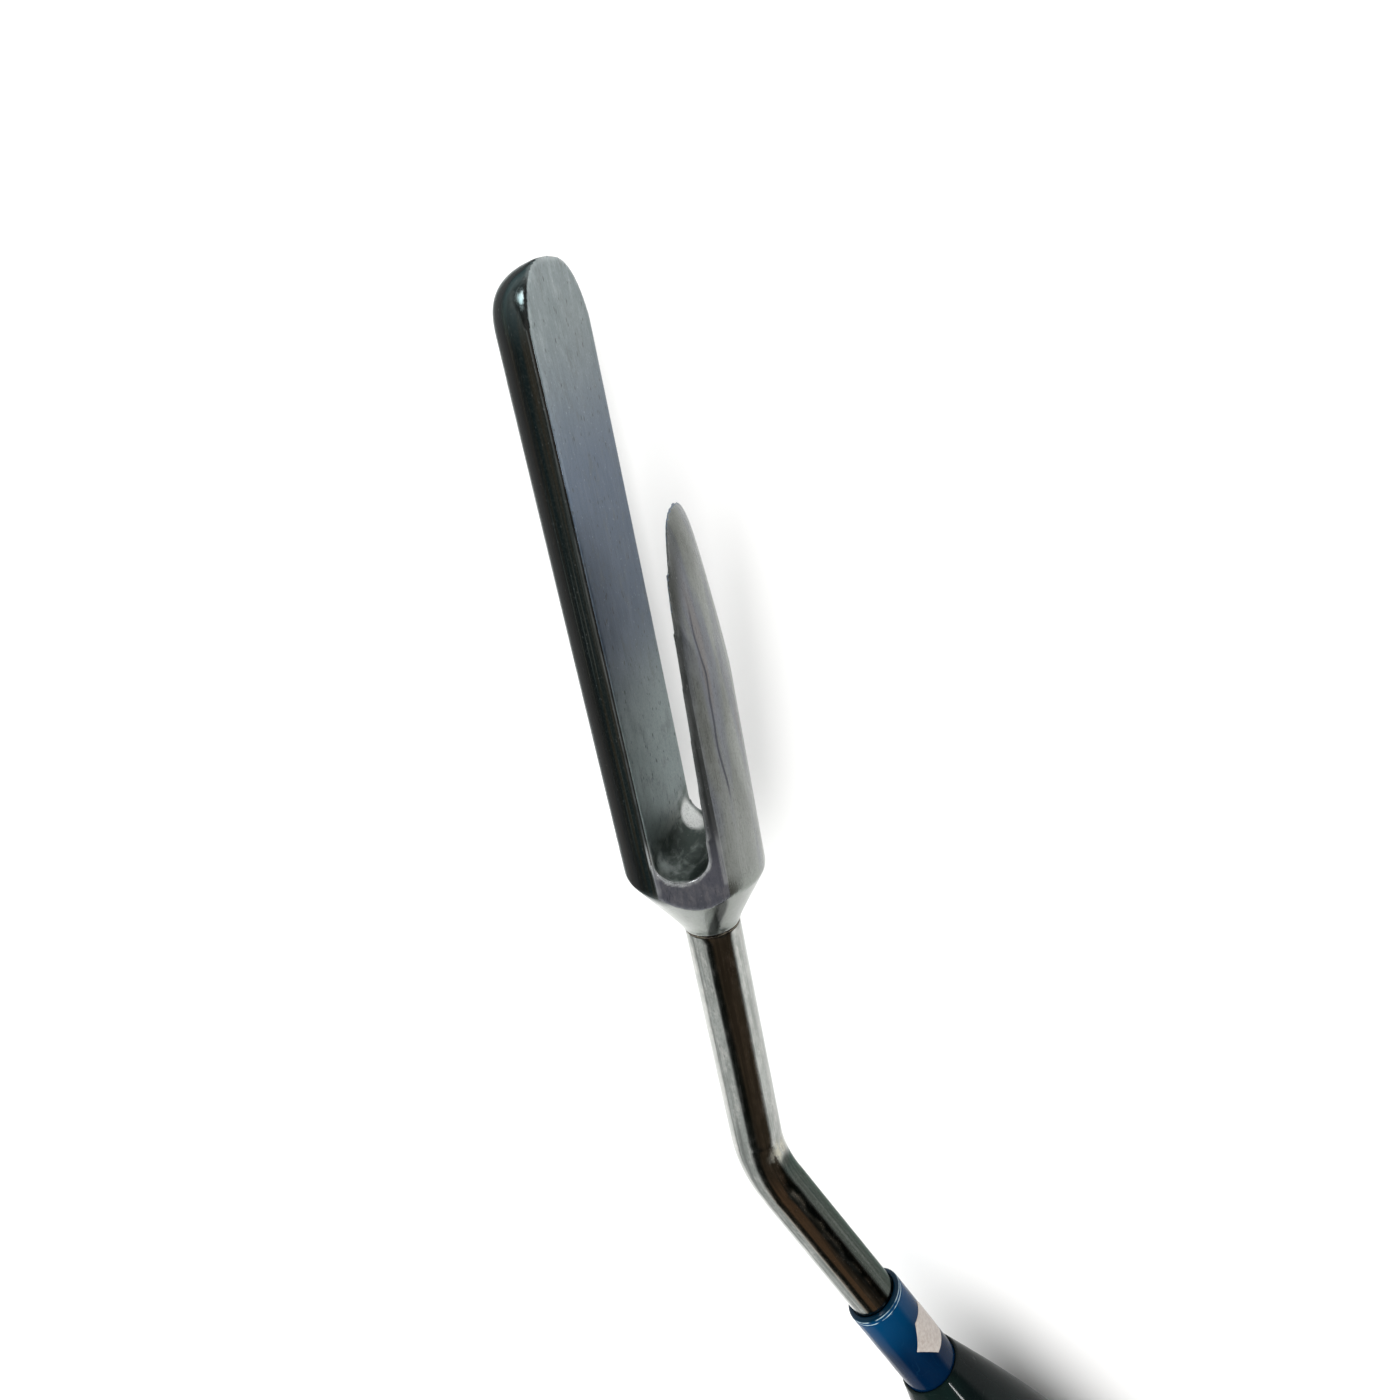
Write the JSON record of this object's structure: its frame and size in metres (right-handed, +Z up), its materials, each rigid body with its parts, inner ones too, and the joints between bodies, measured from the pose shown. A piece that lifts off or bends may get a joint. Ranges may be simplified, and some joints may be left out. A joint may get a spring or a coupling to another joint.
{
  "type": "hive tool",
  "caption": "Bent hive tool: a slotted round steel head with a long blunt tine and a short pointed one, on a round shank with a sleeve and turned grip.",
  "frame": {"origin": "on the resting plane under the middle of the tool's outer box, with the plane of the tines level", "axes": "+Y along the head towards the tips, +X towards the side of the short tine, +Z up, out of the front of the head"},
  "size_m": [0.0914, 0.2812, 0.029],
  "materials": {
    "head_steel": "satin, tempered blue and brown in places",
    "shank_steel": "polished, fine scratches",
    "braze": "dull, tarnished",
    "blue_sleeve": "gloss",
    "white_film": "satin film",
    "grip": "high gloss",
    "pin_steel": "ground flush",
    "eyelet_steel": "plated, satin"
  },
  "bodies": {
    "root": {"fork_head": "head_steel", "shank": "shank_steel", "braze_ring": "braze", "sleeve": "blue_sleeve", "mark": "white_film", "handle": "grip", "tang_pin": "pin_steel", "eyelet": "eyelet_steel"}
  },
  "joints": []
}
